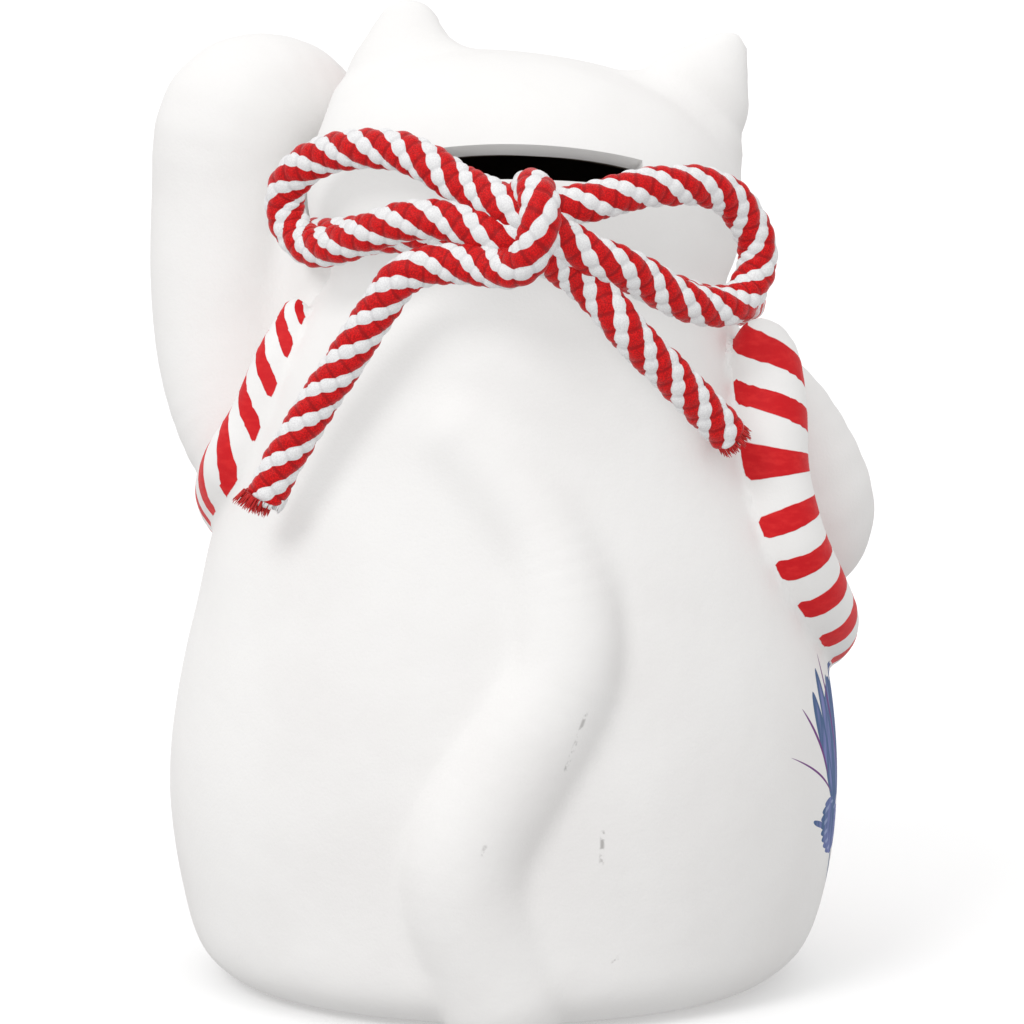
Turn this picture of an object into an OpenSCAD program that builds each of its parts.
// Beckoning cat coin bank: a hollow ceramic cat with one paw raised, a braided cord collar tied in a bow
// behind the neck, a small round bell on the collar and a rubber stopper in the base.
// The cat looks along -Y. The origin is the centre of the base, on the surface that the cat stands on.

/* [Ceramic body] */
// Width of the belly at its widest
belly_w = 106; // [102:1:110]
// Depth of the belly from front to back
belly_d = 96; // [94:1:98]
// Thickness of the cast wall
wall = 3; // [2.5:0.25:4]
// Thickness of the base
base_t = 5; // [4.5:0.5:6]

/* [Head] */
// Width of the head, across the cheeks
head_w = 70; // [67:1:72]
// Depth of the head
head_d = 66; // [62:1:68]
// Height of the head, chin to crown
head_h = 49; // [47:1:51]
// Sideways tilt of the head, in degrees
head_tilt = 8; // [0:0.5:10]

/* [Coin slot] */
// Width of the slot, a little over the largest coin
slot_w = 31; // [28:1:33]
// Height of the slot across its two long walls
slot_h = 6; // [5.4:0.1:6.5]
// Slope of the slot, downwards into the head, in degrees
slot_slope = 18; // [12:1:24]

/* [Base stopper] */
// Diameter of the hole in the base
hole_d = 30; // [24:1:34]
// Gap between the stopper and its hole, on each side
stopper_gap = 0.05; // [0.02:0.01:0.1]

/* [Garland] */
// Thickness of the moulded rope garland
garland_d = 12.4; // [11:0.2:13]

/* [Collar] */
// Diameter of the braided cord
cord_d = 6.1; // [5.5:0.1:6.5]
// Outer diameter of the round bell
bell_d = 16; // [14:0.5:17]

/* [Hidden] */

// Torso sections: [height, share of the belly width, share of the belly depth, sideways shift].
torso_rows = [
    [0, 0.83, 0.79, 0],
    [1.5, 0.9, 0.885, 0],
    [6, 0.965, 0.972, 0],
    [15, 0.99, 0.99, 0],
    [32, 1.0, 1.0, 0],
    [46, 0.985, 0.98, 0],
    [60, 0.945, 0.93, 0],
    [74, 0.885, 0.86, 0],
    [88, 0.795, 0.79, 0],
    [98, 0.73, 0.74, -0.5],
    [106, 0.66, 0.695, -1.5],
    [113, 0.595, 0.635, -3],
    [121, 0.54, 0.58, -4.5],
];
torso_sides = 40;
torso_steps = 26;
cavity_sides = 28;
cavity_steps = 12;

head_at = [-2.8, -3, 124.5];
crown_power = 2.5;
chin_power = 2;
ear_r = 10.5;
ear_tip_r = 3.4;
ear_flat = 0.62;
left_ear_foot = [16.5, -4, 142];
left_ear_tip = [17.2, -6, 154.3];
right_ear_foot = [-28.3, -4, 139];
right_ear_tip = [-35, -6, 149.3];
slot_at = [-7.2, 27, 134.3];
slot_depth = 24;

// Limb stations: [x, y, z, radius], from the body outwards.
raised_arm_stations = [
    [36, -6, 76, 8],
    [41, -11, 85, 11.3],
    [44.5, -15, 96, 12.7],
    [46, -18, 109, 13.2],
    [46, -20, 124, 13.2],
    [44.5, -21, 136, 13.6],
    [38.5, -26, 137.5, 12.6],
    [34, -33, 133, 10.5],
];
resting_arm_stations = [
    [-35, -5, 96, 9],
    [-43, -9, 90, 12],
    [-46.5, -12, 76, 13],
    [-42, -25, 68, 12],
    [-30, -36, 66, 10.5],
    [-19, -41.5, 69, 9.5],
];
tail_stations = [
    [-1.5, 39.5, 7, 11],
    [3.5, 42, 21, 11],
    [2.5, 43, 31, 10.5],
    [-4, 42.5, 43, 10],
    [-10.5, 41, 55, 9],
    [-11, 39, 66, 8.5],
    [-7.5, 37.5, 77, 6.5],
    [-1, 35, 86, 5.5],
    [5, 33.5, 92, 4.5],
];

// Middle line of the garland, from the left of the neck, under the paws, to the right of the neck.
garland_route = [
    [35.5, 5, 109],
    [38.5, 6, 101],
    [42, 6, 91],
    [45, 2, 83],
    [44, -8, 76],
    [40, -19, 69],
    [33, -30, 61],
    [21, -40, 53],
    [6, -46, 48],
    [-12, -47, 45],
    [-28, -41.5, 45],
    [-40, -31, 47],
    [-47.5, -18, 52],
    [-51, -6, 57],
    [-50.5, 2, 63],
    [-47, 6, 72],
    [-43.5, 7.5, 84],
    [-42.5, 6, 94],
    [-42, 4.5, 102],
];

// Routes of the cord's middle line, in the order in which it runs.
end_left_route = [
    [35.5, 35.5, 82.5],
    [33, 36, 88],
    [30, 36.5, 93],
    [26.5, 37, 99],
    [23, 37.5, 104],
    [20, 38, 109],
    [17, 38.5, 113.5],
    [14, 39.5, 118],
    [11, 40, 121],
    [6, 40, 122],
];
loop_left_route = [
    [5, 36, 131.5],
    [9.5, 34, 134.5],
    [14.5, 31, 136.5],
    [20.5, 28, 136.5],
    [26, 24, 135.5],
    [31, 21, 133],
    [33.5, 19, 129.5],
    [34, 18.5, 126],
    [32.5, 19.5, 122.5],
    [29.5, 22.5, 120.5],
    [25.5, 27, 121],
    [21, 31, 123],
    [15.5, 34.5, 125.5],
    [10.5, 36.5, 126.5],
    [5, 38, 126],
];
neck_route = [
    [1, 34, 124],
    [9.5, 31.5, 124],
    [19, 26.5, 123],
    [27, 18.5, 121.5],
    [32, 7.5, 119],
    [32.5, -4, 115.5],
    [29, -16, 111.5],
    [22.5, -27.5, 107.5],
    [11, -36, 104.5],
    [-2, -40, 103],
    [-14, -37, 103],
    [-26, -30, 104],
    [-34.5, -19.5, 106],
    [-38.5, -6, 109],
    [-38, 6, 110.5],
    [-33, 18, 111],
    [-25.5, 26, 114.5],
    [-17.5, 31, 119.5],
    [-9, 34, 122.5],
];
loop_right_route = [
    [-9, 37, 128],
    [-15, 35, 129],
    [-19, 33.5, 130],
    [-23, 31.5, 131],
    [-27, 29, 131],
    [-31.5, 26, 131],
    [-36, 22, 129],
    [-38.5, 19.5, 125.5],
    [-40.5, 18, 121.5],
    [-40.5, 18, 117.5],
    [-39, 19.5, 113.5],
    [-36.5, 23, 111.5],
    [-32, 27, 112],
    [-27.5, 31, 114],
    [-23, 34, 118],
    [-19, 36, 121],
    [-14, 37.5, 124],
    [-9, 38, 125.5],
];
end_right_route = [
    [-7, 39, 121],
    [-11.5, 38.5, 119.5],
    [-15.5, 38, 115.5],
    [-19, 37, 111.5],
    [-22, 35.5, 107.5],
    [-26, 33, 103.5],
    [-30, 30.5, 99],
    [-34, 27.5, 94.5],
    [-36.5, 25.5, 91.5],
];
knot_stations = [
    [3, 38.5, 127, 5.2],
    [-1.5, 39, 125, 7],
    [-5, 39, 123.5, 7],
    [-9, 38.5, 122.5, 5.2],
];
cord_r = cord_d / 2;
cord_sides = 10;

// Stopper: a plug in the hole, with a lip in a recess under the base.
hole_r = hole_d / 2;
lip_r = hole_r + 3;
lip_t = 1.8;
recess_r = lip_r + 1;
recess_h = 2.6;
plug_top = 11;
plug_wall = 3;

// Bell: two pressed halves and a strap loop around the cord. Its own frame has the cord at the origin.
bell_at = [-2, -40, 103];
bell_lean = 35;
bell_r = bell_d / 2;
bell_wall = 0.8;
loop_wire_r = 0.8;
loop_r = cord_r + 0.4 + loop_wire_r;
bell_drop = loop_r + bell_r - 0.4;
rim_r = bell_r + 0.7;
rim_h = 0.7;
slit_w = 2;
slit_end_r = 1.6;
pellet_r = 2.2;
pellet_gap = 0.3;

function unit(v) = v / norm(v);

// Smooth curve through the rows of p, at place t from 0 to len(p) - 1.
function along(p, t) = let (
    last = len(p) - 1,
    i = min(floor(t), last - 1),
    f = t - i,
    a = p[max(i - 1, 0)],
    b = p[i],
    c = p[i + 1],
    d = p[min(i + 2, last)]
) b + f * ((c - a) + f * ((2 * a - 5 * b + 4 * c - d) + f * (3 * b - a - 3 * c + d))) / 2;

function smoothed(p, steps) = [for (k = [0 : steps]) along(p, (len(p) - 1) * k / steps)];

function place(s) = [s[0], s[1], s[2]];

// Stations that close a limb with a round end at station s, where it runs out along d.
function dome(s, d) = [
    for (a = [30, 58, 80]) concat(place(s) + d * s[3] * sin(a), [s[3] * cos(a)])
];

function reversed(p) = [for (k = [len(p) - 1 : -1 : 0]) p[k]];

function domed(s) = let (last = len(s) - 1) concat(
    reversed(dome(s[0], unit(place(s[0]) - place(s[1])))),
    s,
    dome(s[last], unit(place(s[last]) - place(s[last - 1])))
);

function with_radius(route, r) = [for (p = route) concat(p, [r])];

function heading(s, k) = unit(place(s[min(k + 1, len(s) - 1)]) - place(s[max(k - 1, 0)]));

// Side vectors that follow the line of stations s without twisting about it.
function sides_of(s, k = 0, v = [0, 0, 1], out = []) = k == len(s) ? out : let (
    t = heading(s, k),
    level = v - (v * t) * t,
    next = norm(level) < 0.05 ? unit(cross(t, [1, 0, 0])) : unit(level)
) sides_of(s, k + 1, next, concat(out, [next]));

function ring(s, t, v, n) = let (w = cross(t, v)) [
    for (j = [0 : n - 1]) place(s) + s[3] * (v * cos(360 * j / n) + w * sin(360 * j / n))
];

function sweep_rings(s, n) = let (v = sides_of(s)) [
    for (k = [0 : len(s) - 1]) ring(s[k], heading(s, k), v[k], n)
];

// Closed solid through a list of rings that all have the same number of points.
module skin(rings) {
    n = len(rings[0]);
    m = len(rings);
    walls = [
        for (i = [0 : m - 2], j = [0 : n - 1], half = [0, 1]) let (k = (j + 1) % n)
            half == 0
                ? [i * n + j, (i + 1) * n + j, (i + 1) * n + k]
                : [i * n + j, (i + 1) * n + k, i * n + k]
    ];
    ends = [[for (j = [0 : n - 1]) j], [for (j = [n - 1 : -1 : 0]) (m - 1) * n + j]];
    polyhedron([for (r = rings) each r], concat(walls, ends));
}

module limb(stations, steps, n) {
    skin(sweep_rings(domed(smoothed(stations, steps)), n));
}

module cord(route) {
    skin(sweep_rings(with_radius(route, cord_r), cord_sides));
}

// Torso at full size, or shrunk by the wall thickness and cut off at a floor to give the space inside it.
module torso(inset, floor_z, sides, steps) {
    rows = smoothed(torso_rows, steps);
    skin([
        for (row = rows) [
            for (j = [0 : sides - 1]) [
                row[3] + (row[1] * belly_w / 2 - inset) * cos(360 * j / sides),
                (row[2] * belly_d / 2 - inset) * sin(360 * j / sides),
                max(row[0], floor_z + row[0] / 500),
            ]
        ]
    ]);
}

// Ball that is squarer than a sphere above its middle, so that the crown is broad between the ears.
module head(inset, sides) {
    rows = sides / 2;
    translate(head_at)
        rotate([0, -head_tilt, 0])
            skin([
                for (i = [1 : rows - 1]) let (
                    a = 180 * i / rows - 90,
                    rise = 2 / (a > 0 ? crown_power : chin_power),
                    share = pow(cos(a), rise)
                ) [
                    for (j = [0 : sides - 1]) [
                        (head_w / 2 - inset) * share * cos(360 * j / sides),
                        (head_d / 2 - inset) * share * sin(360 * j / sides),
                        (head_h / 2 - inset) * sign(a) * pow(abs(sin(a)), rise),
                    ]
                ]
            ]);
}

module ear(foot, tip) {
    hull() {
        translate(foot) scale([1, ear_flat, 1]) sphere(r = ear_r, $fn = 32);
        translate(tip) sphere(r = ear_tip_r, $fn = 16);
    }
}

// The outside of the casting, without arms, garland or tail.
module figure() {
    torso(0, 0, torso_sides, torso_steps);
    head(0, 48);
    ear(left_ear_foot, left_ear_tip);
    ear(right_ear_foot, right_ear_tip);
}

module coin_slot() {
    translate(slot_at)
        rotate([slot_slope, 0, 0])
            cube([slot_w, slot_depth, slot_h], center = true);
}

module body_shell() {
    color("whitesmoke") difference() {
        resize([0, 0, 0]) difference() {
            union() figure();
            torso(wall, base_t, cavity_sides, cavity_steps);
            head(wall, 28);
            coin_slot();
        }
        translate([0, 0, -1]) cylinder(r = hole_r, h = base_t + 4, $fn = 96);
        translate([0, 0, -1]) cylinder(r = recess_r, h = 1 + recess_h, $fn = 96);
    }
}

module raised_arm() {
    color("white") resize([0, 0, 0]) difference() {
        limb(raised_arm_stations, 16, 20);
        figure();
    }
}

module resting_arm() {
    color("white") resize([0, 0, 0]) difference() {
        limb(resting_arm_stations, 13, 18);
        figure();
    }
}

module garland() {
    color("crimson") resize([0, 0, 0]) difference() {
        limb(with_radius(garland_route, garland_d / 2), 42, 12);
        figure();
        limb(raised_arm_stations, 16, 20);
        limb(resting_arm_stations, 13, 18);
    }
}

module tail_relief() {
    color("snow") resize([0, 0, 0]) difference() {
        limb(tail_stations, 18, 16);
        figure();
        translate([-100, -100, -100]) cube([200, 200, 101]);
    }
}

module stopper() {
    color("dimgray") difference() {
        union() {
            translate([0, 0, recess_h - lip_t]) cylinder(r = lip_r, h = lip_t, $fn = 96);
            translate([0, 0, recess_h - 0.5])
                cylinder(r = hole_r - stopper_gap, h = plug_top - recess_h + 0.5, $fn = 96);
        }
        translate([0, 0, recess_h + 1]) cylinder(r = hole_r - plug_wall, h = plug_top, $fn = 96);
    }
}

module cord_neck() { color("firebrick") cord(neck_route); }

module cord_knot() { color("firebrick") limb(knot_stations, 4, 14); }

module cord_loop_left() { color("firebrick") cord(loop_left_route); }

module cord_loop_right() { color("firebrick") cord(loop_right_route); }

module cord_end_left() { color("firebrick") cord(end_left_route); }

module cord_end_right() { color("firebrick") cord(end_right_route); }

// Turns the bell's own frame to where it hangs on the collar, resting on the chest.
module hung() {
    translate(bell_at) rotate([-bell_lean, 0, 0]) children();
}

// One half of the bell, opening downwards, with its rim at the bell's middle.
module bell_half() {
    rotate_extrude($fn = 64) {
        intersection() {
            difference() {
                circle(r = bell_r, $fn = 64);
                circle(r = bell_r - bell_wall, $fn = 64);
            }
            square([bell_r, bell_r]);
        }
        translate([bell_r - bell_wall, 0]) square([rim_r - bell_r + bell_wall, rim_h]);
    }
}

module bell_upper() {
    color("goldenrod") hung() {
        rotate([0, 90, 0])
            rotate_extrude($fn = 48) translate([loop_r, 0]) circle(r = loop_wire_r, $fn = 24);
        translate([0, 0, -bell_drop]) bell_half();
    }
}

module bell_lower() {
    color("goldenrod") hung() translate([0, 0, -bell_drop]) difference() {
        mirror([0, 0, 1]) bell_half();
        translate([-bell_r * 0.72, -slit_w / 2, -bell_r * 1.2]) cube([bell_r * 1.44, slit_w, bell_r * 0.75]);
        for (side = [-1, 1])
            translate([side * bell_r * 0.72, 0, -bell_r * 1.2]) cylinder(r = slit_end_r, h = bell_r * 0.75, $fn = 32);
    }
}

module bell_pellet() {
    color("gray") hung()
        translate([0, 0, -bell_drop - (bell_r - bell_wall - pellet_r - pellet_gap)])
            sphere(r = pellet_r, $fn = 32);
}

body_shell();
raised_arm();
resting_arm();
garland();
tail_relief();
stopper();
cord_neck();
cord_knot();
cord_loop_left();
cord_loop_right();
cord_end_left();
cord_end_right();
bell_upper();
bell_lower();
bell_pellet();
